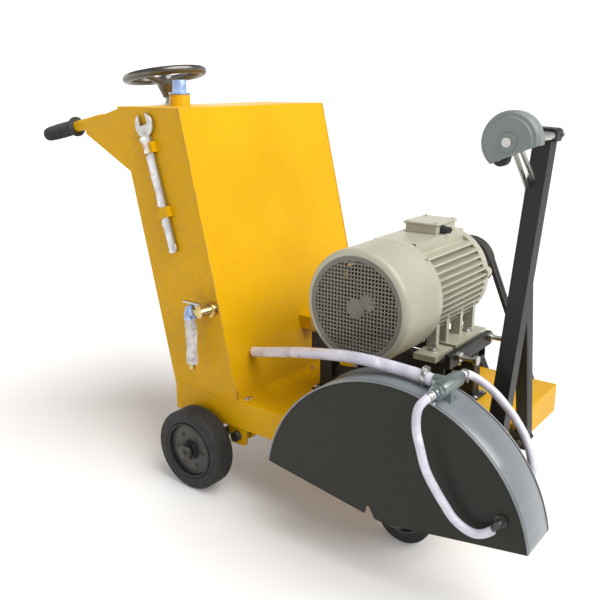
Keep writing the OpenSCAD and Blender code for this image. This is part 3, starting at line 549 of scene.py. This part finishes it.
def front_wheel(name, node, body):
    low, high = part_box(node)
    centre = (low + high) / 2
    radius = (high.z - low.z) / 2
    half = (high.y - low.y) / 2 - 1 * MM
    core = 44 * MM
    shoulder = 6 * MM
    tyre = [(core, -half)]
    tyre += arc(radius - shoulder, -half + shoulder, shoulder, -90, 0, 5)
    tyre += arc(radius - shoulder, half - shoulder, shoulder, 0, 90, 5)
    tyre += [(core, half)]
    ring = lathe(name + "_tyre", tyre, centre, (0, 1, 0), TYRE, body, 80)
    disc = [(10.2 * MM, -half - 1 * MM), (17 * MM, -half - 1 * MM), (18 * MM, -half * 0.9),
            (20 * MM, -half * 0.55),
            (core - 6 * MM, -half * 0.45), (core - 3 * MM, -half * 0.9), (core, -half * 0.95),
            (core, half * 0.95), (core - 3 * MM, half * 0.9), (core - 6 * MM, half * 0.45),
            (20 * MM, half * 0.55), (18 * MM, half * 0.9), (17 * MM, half + 1 * MM),
            (10.2 * MM, half + 1 * MM)]
    lathe(name + "_disc", disc, centre, (0, 1, 0), IRON, body, 64)
    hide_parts(node)


# ---- motor ----


def motor_axis():
    low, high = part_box("fan_cover")
    return (low + high) / 2


def fan_cover_shell():
    """Drawn sheet cover: barrel, round shoulder, rolled lip and a small bead at its rear edge."""
    low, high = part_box("fan_cover")
    centre = Vector(((low.x + high.x) / 2, low.y, (low.z + high.z) / 2))
    radius = (high.z - low.z) / 2
    depth = high.y - low.y
    shoulder = 15 * MM
    wall = 2 * MM
    hole = 116.5 * MM
    outer = [(hole, 1.5 * MM), (hole, 0.0)] + arc(radius - shoulder, shoulder, shoulder, -90, 0, 8)
    outer += [(radius, depth * 0.80), (radius + 1.0 * MM, depth * 0.82), (radius + 1.0 * MM, depth * 0.86),
              (radius, depth * 0.88), (radius, depth), (radius - wall, depth)]
    inner = [(radius - wall, shoulder)] + arc(radius - shoulder, shoulder, shoulder - wall, 0, -90, 6)
    cover = lathe("fan_cover_shell", outer + inner, centre, (0, 1, 0), MOTOR, segments=96)
    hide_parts("fan_cover")
    spots = [centre + Vector((math.cos(a) * radius, depth * 0.93, math.sin(a) * radius))
             for a in (math.radians(45 + 90 * k) for k in range(4))]
    for k, spot in enumerate(spots):
        out = (spot - Vector((centre.x, spot.y, centre.z))).normalized()
        bolts(f"cover_screw_{k + 1}", [spot], out, 3.4 * MM, 2.5 * MM, STEEL)


def fan_grille_mesh():
    """Punched guard: small square holes in a regular grid, with a plain rim and a centre boss."""
    low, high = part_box("fan_grille")
    centre = Vector(((low.x + high.x) / 2, high.y - 1.2 * MM, (low.z + high.z) / 2))
    radius = (high.z - low.z) / 2
    pitch = 8.6 * MM
    hole = 5.4 * MM
    reach = int(radius / pitch) + 1
    points, faces, index = [], [], {}

    def corner(x, z):
        key = (round(x, 6), round(z, 6))
        if key not in index:
            index[key] = len(points)
            points.append(Vector((centre.x + x, centre.y, centre.z + z)))
        return index[key]

    for i in range(-reach, reach + 1):
        for j in range(-reach, reach + 1):
            cx, cz = i * pitch, j * pitch
            if math.hypot(cx, cz) + pitch * 0.72 > radius:
                continue
            h, g = pitch / 2, hole / 2
            outer = [corner(cx - h, cz - h), corner(cx + h, cz - h), corner(cx + h, cz + h),
                     corner(cx - h, cz + h)]
            if math.hypot(cx, cz) < 20 * MM or math.hypot(cx, cz) + pitch > radius - 3 * MM:
                faces.append(tuple(outer))
                continue
            inner = [corner(cx - g, cz - g), corner(cx + g, cz - g), corner(cx + g, cz + g),
                     corner(cx - g, cz + g)]
            for k in range(4):
                n = (k + 1) % 4
                faces.append((outer[k], outer[n], inner[n], inner[k]))
    grille = add_mesh("fan_grille_net", points, faces, GRILLE, smooth=False)
    thick = grille.modifiers.new("thick", "SOLIDIFY")
    thick.thickness = 1.2 * MM
    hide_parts("fan_grille")
    rim = [(radius - 12 * MM, -0.8 * MM), (radius - 10 * MM, -1.4 * MM), (radius - 0.5 * MM, -1.0 * MM),
           (radius, 0.4 * MM), (radius - 1 * MM, 1.6 * MM), (radius - 12 * MM, 1.2 * MM)]
    lathe("grille_rim", rim, centre, (0, 1, 0), GRILLE, segments=96)
    boss = [(0.3 * MM, -2.8 * MM), (17 * MM, -2.6 * MM), (21 * MM, -1.6 * MM), (22 * MM, 1.2 * MM),
            (0.3 * MM, 1.2 * MM)]
    lathe("grille_boss", boss, centre, (0, 1, 0), GRILLE, segments=48)


def motor_details():
    axis = motor_axis()
    bell_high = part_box("drive_end_bell")[1]
    face_y = bell_high.y - 12 * MM
    spots = [Vector((axis.x + math.cos(a) * 40 * MM, bell_high.y, axis.z + math.sin(a) * 40 * MM))
             for a in (math.radians(45 + 90 * k) for k in range(4))]
    bolts("bearing_cap_bolts", spots, (0, 1, 0), 4 * MM, 3.5 * MM, STEEL)
    spots = [Vector((axis.x + math.cos(a) * 114 * MM, face_y, axis.z + math.sin(a) * 114 * MM))
             for a in (math.radians(8 + 90 * k) for k in range(4))]
    bolts("bell_bolts", spots, (0, 1, 0), 6 * MM, 5 * MM, STEEL)
    low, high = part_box("terminal_box")
    spots = [Vector((x, y, high.z)) for x in (low.x + 9 * MM, high.x - 9 * MM)
             for y in (low.y + 9 * MM, high.y - 9 * MM)]
    bolts("lid_screws", spots, (0, 0, 1), 3.4 * MM, 2.4 * MM, STEEL)


# ---- handles and lifting screw ----


def grip(name, y):
    """Ribbed rubber sleeve with a broad flange and a domed end."""
    slope = math.radians(11.5)
    axis = Vector((math.cos(slope), 0, math.sin(slope)))
    end = at(-470, y, 857)
    profile = [(0.3 * MM, -7 * MM)] + arc(10 * MM, 0, 8.2 * MM, -90, 0, 5)
    ribs = 17
    for k in range(ribs):
        along = (6 + k * 6.3) * MM
        swell = 1.1 * MM * math.sin(math.pi * k / (ribs - 1))
        profile += [(17.2 * MM + swell, along), (19.0 * MM + swell, along + 1.2 * MM),
                    (19.2 * MM + swell, along + 3.2 * MM), (17.2 * MM + swell, along + 4.6 * MM)]
    profile += [(18 * MM, 117 * MM), (22 * MM, 119 * MM), (26 * MM, 121 * MM), (26 * MM, 126 * MM),
                (24 * MM, 128 * MM), (14.1 * MM, 128 * MM), (14.1 * MM, 0.5 * MM), (0.3 * MM, 0.5 * MM)]
    return lathe(name, profile, end, axis, RUBBER, segments=48)


SCREW_LEAN = math.radians(9)
SCREW_AXIS = Vector((-math.sin(SCREW_LEAN), 0, math.cos(SCREW_LEAN)))


def threaded_screw():
    """Lifting screw with a six millimetre thread below its plain neck."""
    top = at(-187, 200, 938)
    bottom = -(938 - 68) / math.cos(SCREW_LEAN) * MM
    profile = [(0.3 * MM, bottom), (6.6 * MM, bottom)]
    along = bottom + 2 * MM
    while along < -60 * MM:
        profile += [(6.9 * MM, along), (8.0 * MM, along + 1.6 * MM), (8.0 * MM, along + 3.0 * MM),
                    (6.9 * MM, along + 4.6 * MM)]
        along += 6 * MM
    profile += [(8 * MM, -56 * MM), (8 * MM, 82 * MM), (0.3 * MM, 82 * MM)]
    screw = lathe("lift_screw_thread", profile, top, SCREW_AXIS, BRUSHED, "screw", 28)
    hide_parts("lift_screw")
    bolts("handwheel_nut", [top + SCREW_AXIS * 76 * MM], SCREW_AXIS, 11 * MM, 9 * MM, STEEL, "screw")


# ---- films, welds and small parts ----


def film_sleeve(name, route, radius, squeeze, material, body, seed, sides=28):
    """Loose wrapping film: a crumpled sleeve round a long piece."""
    points, faces = sweep_points(route, lambda i: radius, sides, squeeze)
    middle_of = [route[i] for i in range(len(route)) for _ in range(sides)]
    for i, p in enumerate(points):
        out = p - middle_of[i]
        crease = noise.noise(p * 90 + Vector((seed, 0, 0))) + 0.6 * noise.noise(p * 230)
        points[i] = p + out * 0.30 * crease
    return add_mesh(name, points, faces, material, body)


def wrapped_pieces():
    lean = math.radians(15.4)
    up = Vector((-math.sin(lean), 0, math.cos(lean)))
    foot = at(22, -8.2, 604)
    film_sleeve("wrench_film_low", line_points(foot - up * 0.012, foot + up * 0.072, 0.005), 0.0145, 0.38,
                FILM, "spanner", 3)
    film_sleeve("wrench_film_middle", line_points(foot + up * 0.104, foot + up * 0.228, 0.005), 0.0145, 0.38,
                FILM, "spanner", 9)
    head = foot + up * 0.262
    film_sleeve("wrench_film_neck", line_points(head - up * 0.028, head + up * 0.012, 0.004), 0.021, 0.34,
                FILM, "spanner", 5)
    tap = at(105, -40, 330)
    film_sleeve("tap_film", line_points(tap, tap + Vector((0, 0, 0.12)), 0.005), 0.0135, 1.0, FILM, FRAME, 21)
    elbow = smooth_route([at(105, -40, 446), at(104, -40, 458), at(107, -40, 468), at(118, -40, 471)], 0.003)
    film_sleeve("elbow_film", elbow, 0.0155, 1.0, BLUE, FRAME, 33)


def weld_seams():
    """Welds where plates meet: tank to deck, gussets, brackets, lugs and posts."""
    seams = [
        ("tank_front_weld", (216, 2, 245), (216, 578, 245), 2.6),
        ("tank_near_weld", (2, -0.5, 245), (214, -0.5, 245), 2.2),
        ("tank_far_weld", (2, 580.5, 245), (214, 580.5, 245), 2.2),
        ("tank_rear_weld", (-1, 2, 245), (-1, 578, 245), 2.4),
        ("gusset_near_weld", (-162, 4, 928), (-128, 4, 782), 2.2),
        ("gusset_far_weld", (-162, 576, 928), (-128, 576, 782), 2.2),
        ("lug_weld_1", (805, 79, 178), (805, 79, 236), 2.2),
        ("lug_weld_2", (805, 139, 178), (805, 139, 236), 2.2),
        ("lug_weld_3", (805, 258, 178), (805, 258, 236), 2.2),
        ("lug_weld_4", (805, 312, 178), (805, 312, 236), 2.2),
    ]
    for name, start, end, radius in seams:
        weld_bead(name, at(*start), at(*end), radius * MM, YELLOW)


def box_mesh(name, corner_a, corner_b, material, body=FRAME, edge=0.8):
    """A plain plate with softened edges between two corners."""
    a, b = at(*corner_a), at(*corner_b)
    points = [Vector((x, y, z)) for x in (a.x, b.x) for y in (a.y, b.y) for z in (a.z, b.z)]
    faces = [(0, 1, 3, 2), (4, 6, 7, 5), (0, 4, 5, 1), (2, 3, 7, 6), (0, 2, 6, 4), (1, 5, 7, 3)]
    plate = add_mesh(name, points, faces, material, body, smooth=False)
    soft = plate.modifiers.new("soft", "BEVEL")
    soft.width = edge * MM
    soft.segments = 2
    return plate


def deck_tabs():
    """Small angle tabs that hold the tank's front corners to the deck, each with its bolt."""
    for side, y0, y1 in (("near", 3, 27), ("far", 553, 577)):
        box_mesh(f"tank_tab_{side}_foot", (217, y0, 244.2), (243, y1, 247.2), YELLOW)
        box_mesh(f"tank_tab_{side}_wall", (216, y0, 246), (219, y1, 272), YELLOW)
        bolts(f"tank_tab_{side}_bolt", [at(232, (y0 + y1) / 2, 247.2)], (0, 0, 1), 5.5 * MM, 4.5 * MM, STEEL)


def rolled_corners():
    """Folded sheet edges: the tank's two front corners show a soft round."""
    lean = math.tan(math.radians(13.3))
    for name, y in (("near", 0.6), ("far", 579.4)):
        start = at(215, y, 246)
        end = at(215 - (937 - 244) * lean, y, 937)
        points, faces = sweep_points([start, end], lambda i: 1.6 * MM, 8)
        add_mesh(f"tank_fold_{name}", points, faces, YELLOW)


def guard_edge_highlights():
    """The rim's sheet stands a little proud of each plate as a narrow bead; its pale rim paint is a painted
    highlight along the edge.
    """
    centre = at(699, 0, 140)
    radius = 301 * MM
    start = math.radians(9.5)
    end = math.radians(170.5)
    for name, y in (("guard_edge_highlight_near", -108.5), ("guard_edge_highlight_far", -8.5)):
        count = 150
        route = []
        for k in range(count + 1):
            angle = start + (end - start) * k / count
            x = min(centre.x + radius * math.cos(angle), at(995.5, 0, 0).x)
            route.append(Vector((x, at(0, y, 0).y, centre.z + radius * math.sin(angle))))
        points, faces = sweep_points(route, lambda i: 1.9 * MM, 8)
        # the bead is a real fold in shape, and its pale rim paint is a painted highlight along the plate's
        # edge
        add_mesh(name, points, faces, RIM)


def small_fasteners():
    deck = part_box("chassis_tray")[1].z
    spots = [at(x + dx, y + dy, 0) + Vector((0, 0, deck + 6 * MM))
             for x in (350, 650) for y in (202, 380) for dx in (-27, 27) for dy in (-22, 22)]
    bolts("stand_bolts", spots, (0, 0, 1), 5 * MM, 4.5 * MM, STEEL)
    axle_low, axle_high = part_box("fixed_shafts")
    hub = middle("rear_hub_right")
    bolts("axle_nut_near", [Vector((hub.x, axle_low.y, hub.z))], (0, -1, 0), 9 * MM, 6 * MM, IRON)
    bolts("axle_nut_far", [Vector((hub.x, axle_high.y, hub.z))], (0, 1, 0), 9 * MM, 6 * MM, IRON)
    for name, node, body, side in (("dust_cover_near", "rear_hub_right", "rear_wheel_r", -1),
                                   ("dust_cover_far", "rear_hub_left", "rear_wheel_l", 1)):
        low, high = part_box(node)
        face = low.y if side < 0 else high.y
        centre = Vector((hub.x, face - side * 9 * MM, hub.z))
        plate = [(19.5 * MM, 0), (30 * MM, 1.0 * MM), (34 * MM, 2.6 * MM), (50 * MM, 2.8 * MM),
                 (55 * MM, 0.6 * MM),
                 (64 * MM, 0.4 * MM), (64 * MM, -1.2 * MM), (55 * MM, -1.0 * MM), (19.5 * MM, -1.6 * MM)]
        lathe(name, plate, centre, (0, side, 0), IRON, body, 64)
        ring = [Vector((math.cos(a) * 42 * MM, side * 2.8 * MM, math.sin(a) * 42 * MM))
                for a in (math.pi * k / 3 for k in range(6))]
        bolts(name + "_bolts", [centre + spot for spot in ring], (0, side, 0), 4.5 * MM, 3.5 * MM, IRON, body)


# ---- stage ----


def make_stage():
    """A round studio floor that curves up into a pale wall, one broad sun and two soft lamps."""
    profile = [(0.0, 0.0), (9.0, 0.0), (10.5, 0.12), (12.0, 0.6), (13.5, 1.8), (15.0, 4.2), (16.0, 7.0)]
    segments = 72
    points = [Vector((r * math.cos(2 * math.pi * k / segments), r * math.sin(2 * math.pi * k / segments), z))
              for r, z in profile for k in range(segments)]
    faces = [(i * segments + k, i * segments + (k + 1) % segments, (i + 1) * segments + (k + 1) % segments,
              (i + 1) * segments + k) for i in range(len(profile) - 1) for k in range(segments)]
    mesh = bpy.data.meshes.new("floor")
    mesh.from_pydata([tuple(p) for p in points], [], faces)
    mesh.polygons.foreach_set("use_smooth", [True] * len(mesh.polygons))
    floor = bpy.data.objects.new("floor", mesh)
    bpy.context.scene.collection.objects.link(floor)
    floor.location.z = -0.0006
    white = new_material("floor_white", (0.77, 0.77, 0.77), 0.9)
    white.node_tree.nodes["Principled BSDF"].inputs["Emission Color"].default_value = (1, 1, 1, 1)
    white.node_tree.nodes["Principled BSDF"].inputs["Emission Strength"].default_value = 0.10
    floor.data.materials.append(white)
    world = bpy.data.worlds.new("studio")
    world.use_nodes = True
    background = world.node_tree.nodes["Background"]
    background.inputs["Color"].default_value = (1, 1, 1, 1)
    background.inputs["Strength"].default_value = 0.20
    bpy.context.scene.world = world
    for name, kind, where, size, power, colour in (
            ("sun", "SUN", (3.2, 0.2, 3.2), 1.1, 5.2, (1, 0.98, 0.95)),
            ("top", "AREA", (0.6, -0.4, 3.2), 1.4, 16, (1, 1, 1)),
            ("edge", "AREA", (-2.6, 1.8, 2.4), 1.6, 14, (0.95, 0.97, 1))):
        light = bpy.data.objects.new(name, bpy.data.lights.new(name, kind))
        if kind == "SUN":
            light.data.angle = size
        else:
            light.data.size = size
        light.data.energy = power
        light.data.color = colour
        light.location = where
        direction = Vector((0, 0, 0.45)) - Vector(where)
        light.rotation_euler = direction.to_track_quat("-Z", "Y").to_euler()
        bpy.context.scene.collection.objects.link(light)
    bpy.context.scene.view_settings.view_transform = "Standard"


place_camera()
make_hoses()
hose_clamp("inlet_clamp", at(752, -60, 454.5), (-1, 0, 0.1), MAIN_RADIUS)
hose_clamp("near_clamp", at(798, -128, 449), (0.2, 1, 0.2), BRANCH_RADIUS)
hose_clamp("far_clamp", at(800, 10, 450.5), (0, 1, 0), BRANCH_RADIUS)
dress_cad_nodes()
rear_tyre("rear_tyre_near", "rear_tyre_right", "rear_wheel_r")
rear_tyre("rear_tyre_far", "rear_tyre_left", "rear_wheel_l")
front_wheel("front_wheel_near", "front_wheel_right", "front_wheel_r")
front_wheel("front_wheel_far", "front_wheel_left", "front_wheel_l")
fan_cover_shell()
fan_grille_mesh()
motor_details()
near_grip = grip("grip_near", 15)
grip("grip_far", 565)
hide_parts("hand_grips")
threaded_screw()
wrapped_pieces()
weld_seams()
guard_edge_highlights()
small_fasteners()
deck_tabs()
rolled_corners()
make_stage()
